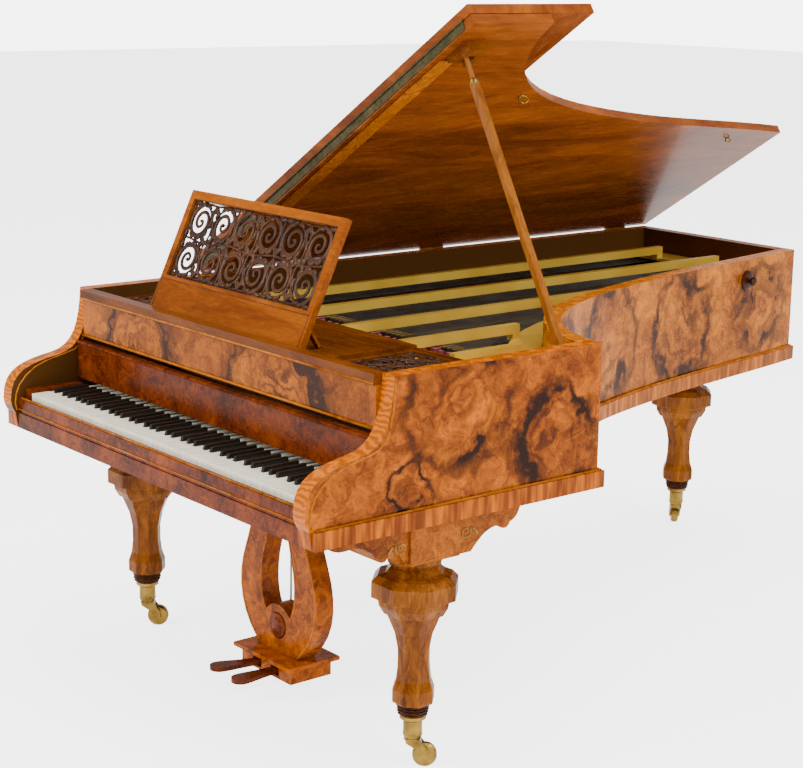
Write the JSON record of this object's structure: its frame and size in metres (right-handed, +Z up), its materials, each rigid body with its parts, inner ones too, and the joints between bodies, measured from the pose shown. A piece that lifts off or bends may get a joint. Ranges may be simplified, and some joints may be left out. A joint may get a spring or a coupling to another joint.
{
  "type": "grand piano",
  "caption": "Full-size antique concert grand piano in burr walnut with carved legs, a fretwork music desk, an open lid on a prop and a pedal lyre.",
  "frame": {"origin": "floor, midway across the whole width and the whole length", "axes": "+Y towards the tail, +X towards the treble side with the bent side, +Z up; the player sits on the -Y side"},
  "size_m": [1.3694, 2.371, 1.6985],
  "materials": {
    "burr_walnut": "polished burr veneer",
    "dark_burr": "polished dark burr veneer",
    "straight_walnut": "polished straight grain",
    "fretwork": "satin",
    "inner_wood": "matt",
    "spruce": "matt varnish",
    "ivory": "polished",
    "felt": "matt felt",
    "gilt_iron": "gilt lacquer",
    "brass": "polished",
    "steel": "drawn"
  },
  "bodies": {
    "case": {"case_spine": "burr_walnut", "case_treble_side": "burr_walnut", "case_bentside": "burr_walnut", "case_tail": "burr_walnut", "case_beams": "inner_wood", "keybed": "inner_wood", "key_slip": "dark_burr", "key_block_bass": "dark_burr", "key_block_treble": "dark_burr", "soundboard": "spruce", "wrest_plank": "inner_wood", "iron_frame": "gilt_iron", "strings": "steel", "damper_row": "felt", "hammer_action": "inner_wood", "front_board": "burr_walnut", "front_rail": "straight_walnut", "desk_shelf": "straight_walnut", "fret_tray_bass": "fretwork", "fret_tray_treble": "fretwork", "lid_hinge_front": "brass", "lid_hinge_middle": "brass", "lid_hinge_tail": "brass", "leg_front_bass": "burr_walnut", "leg_front_treble": "burr_walnut", "leg_tail": "burr_walnut", "leg_truss_bass": "burr_walnut", "leg_truss_treble": "burr_walnut", "castor_socket_front_bass": "brass", "castor_socket_front_treble": "brass", "castor_socket_tail": "brass", "lyre_frame": "burr_walnut", "lyre_box": "burr_walnut", "side_knob": "dark_burr"},
    "lid": {"lid": "burr_walnut", "flap_hinge": "brass", "prop_catch": "straight_walnut"},
    "flap": {"lid_flap": "burr_walnut"},
    "prop": {"lid_prop": "straight_walnut"},
    "desk": {"desk_frame": "straight_walnut", "desk_fret": "fretwork"},
    "desk_strut": {"desk_strut": "straight_walnut"},
    "fallboard": {"fallboard": "dark_burr"},
    "pedal_left": {"pedal_left": "burr_walnut"},
    "pedal_right": {"pedal_right": "burr_walnut"},
    "rod_left": {"pedal_rod_left": "steel"},
    "rod_right": {"pedal_rod_right": "steel"},
    "keys_1": {"keys_octave_1": "ivory"},
    "keys_2": {"keys_octave_2": "ivory"},
    "keys_3": {"keys_octave_3": "ivory"},
    "keys_4": {"keys_octave_4": "ivory"},
    "keys_5": {"keys_octave_5": "ivory"},
    "keys_6": {"keys_octave_6": "ivory"},
    "keys_7": {"keys_octave_7": "ivory"},
    "castor_front_bass": {"castor_fork_front_bass": "brass"},
    "wheel_front_bass": {"castor_wheel_front_bass": "brass"},
    "castor_front_treble": {"castor_fork_front_treble": "brass"},
    "wheel_front_treble": {"castor_wheel_front_treble": "brass"},
    "castor_tail": {"castor_fork_tail": "brass"},
    "wheel_tail": {"castor_wheel_tail": "brass"}
  },
  "joints": [
    {"name": "lid_hinge", "type": "hinge", "parent": "case", "child": "lid", "pos_m": [-0.65827, -1.1675, 0.945], "axis": [0, -1, 0], "range_deg": [0, 50]},
    {"name": "flap_hinge", "type": "hinge", "parent": "lid", "child": "flap", "pos_m": [-0.09685, -0.5795, 1.32949], "axis": [0.8453, 0, 0.5344], "range_deg": [0, 180]},
    {"name": "prop_swing", "type": "hinge", "parent": "case", "child": "prop", "pos_m": [0.60573, -0.4115, 0.926], "axis": [0.7895, -0.2453, -0.5626], "range_deg": [0, 117.4]},
    {"name": "desk_fold", "type": "hinge", "parent": "case", "child": "desk", "pos_m": [-0.01427, -0.9255, 0.921], "axis": [-1, 0, 0], "range_deg": [0, 65]},
    {"name": "strut_fold", "type": "hinge", "parent": "desk", "child": "desk_strut", "pos_m": [0.25073, -0.89221, 1.00257], "axis": [-1, 0, 0], "range_deg": [0, 56]},
    {"name": "fallboard_hinge", "type": "hinge", "parent": "case", "child": "fallboard", "pos_m": [0.00973, -0.9815, 0.719], "axis": [1, 0, 0], "range_deg": [0, 90]},
    {"name": "keys_1_press", "type": "hinge", "parent": "case", "child": "keys_1", "pos_m": [0.00973, -0.9325, 0.673], "axis": [1, 0, 0], "range_deg": [0, 2.8], "stiffness_Nm_per_rad": 60, "springref_deg": -2.86},
    {"name": "keys_2_press", "type": "hinge", "parent": "case", "child": "keys_2", "pos_m": [0.00973, -0.9325, 0.673], "axis": [1, 0, 0], "range_deg": [0, 2.8], "stiffness_Nm_per_rad": 60, "springref_deg": -2.86},
    {"name": "keys_3_press", "type": "hinge", "parent": "case", "child": "keys_3", "pos_m": [0.00973, -0.9325, 0.673], "axis": [1, 0, 0], "range_deg": [0, 2.8], "stiffness_Nm_per_rad": 60, "springref_deg": -2.86},
    {"name": "keys_4_press", "type": "hinge", "parent": "case", "child": "keys_4", "pos_m": [0.00973, -0.9325, 0.673], "axis": [1, 0, 0], "range_deg": [0, 2.8], "stiffness_Nm_per_rad": 60, "springref_deg": -2.86},
    {"name": "keys_5_press", "type": "hinge", "parent": "case", "child": "keys_5", "pos_m": [0.00973, -0.9325, 0.673], "axis": [1, 0, 0], "range_deg": [0, 2.8], "stiffness_Nm_per_rad": 60, "springref_deg": -2.86},
    {"name": "keys_6_press", "type": "hinge", "parent": "case", "child": "keys_6", "pos_m": [0.00973, -0.9325, 0.673], "axis": [1, 0, 0], "range_deg": [0, 2.8], "stiffness_Nm_per_rad": 60, "springref_deg": -2.86},
    {"name": "keys_7_press", "type": "hinge", "parent": "case", "child": "keys_7", "pos_m": [0.00973, -0.9325, 0.673], "axis": [1, 0, 0], "range_deg": [0, 2.8], "stiffness_Nm_per_rad": 60, "springref_deg": -2.86},
    {"name": "pedal_left_press", "type": "hinge", "parent": "case", "child": "pedal_left", "pos_m": [-0.02827, -0.7605, 0.0615], "axis": [1, 0, 0], "range_deg": [0, 5], "stiffness_Nm_per_rad": 4, "springref_deg": -5.16},
    {"name": "rod_left_slide", "type": "slide", "parent": "case", "child": "rod_left", "axis": [0, 0, 1], "range_m": [0, 0.0032]},
    {"name": "pedal_right_press", "type": "hinge", "parent": "case", "child": "pedal_right", "pos_m": [0.04773, -0.7605, 0.0615], "axis": [1, 0, 0], "range_deg": [0, 5], "stiffness_Nm_per_rad": 4, "springref_deg": -5.16},
    {"name": "rod_right_slide", "type": "slide", "parent": "case", "child": "rod_right", "axis": [0, 0, 1], "range_m": [0, 0.0032]},
    {"name": "castor_front_bass_swivel", "type": "hinge", "parent": "case", "child": "castor_front_bass", "pos_m": [-0.56527, -0.8175, 0.06], "axis": [0, 0, 1], "continuous": true},
    {"name": "wheel_front_bass_spin", "type": "hinge", "parent": "castor_front_bass", "child": "wheel_front_bass", "pos_m": [-0.54803, -0.79544, 0.02826], "axis": [-0.788, 0.6157, 0], "continuous": true},
    {"name": "castor_front_treble_swivel", "type": "hinge", "parent": "case", "child": "castor_front_treble", "pos_m": [0.58473, -0.8175, 0.06], "axis": [0, 0, 1], "continuous": true},
    {"name": "wheel_front_treble_spin", "type": "hinge", "parent": "castor_front_treble", "child": "wheel_front_treble", "pos_m": [0.60197, -0.79544, 0.02826], "axis": [-0.788, 0.6157, 0], "continuous": true},
    {"name": "castor_tail_swivel", "type": "hinge", "parent": "case", "child": "castor_tail", "pos_m": [-0.34527, 1.0575, 0.06], "axis": [0, 0, 1], "continuous": true},
    {"name": "wheel_tail_spin", "type": "hinge", "parent": "castor_tail", "child": "wheel_tail", "pos_m": [-0.36672, 1.0755, 0.02826], "axis": [-0.6428, -0.766, 0], "continuous": true}
  ],
  "couplings": [
    {"joint": "desk_fold", "follows": "flap_hinge", "ratio": 0.36111},
    {"joint": "strut_fold", "follows": "flap_hinge", "ratio": 0.31111},
    {"joint": "rod_left_slide", "follows": "pedal_left_press", "m_per_rad": 0.034},
    {"joint": "rod_right_slide", "follows": "pedal_right_press", "m_per_rad": 0.034}
  ]
}
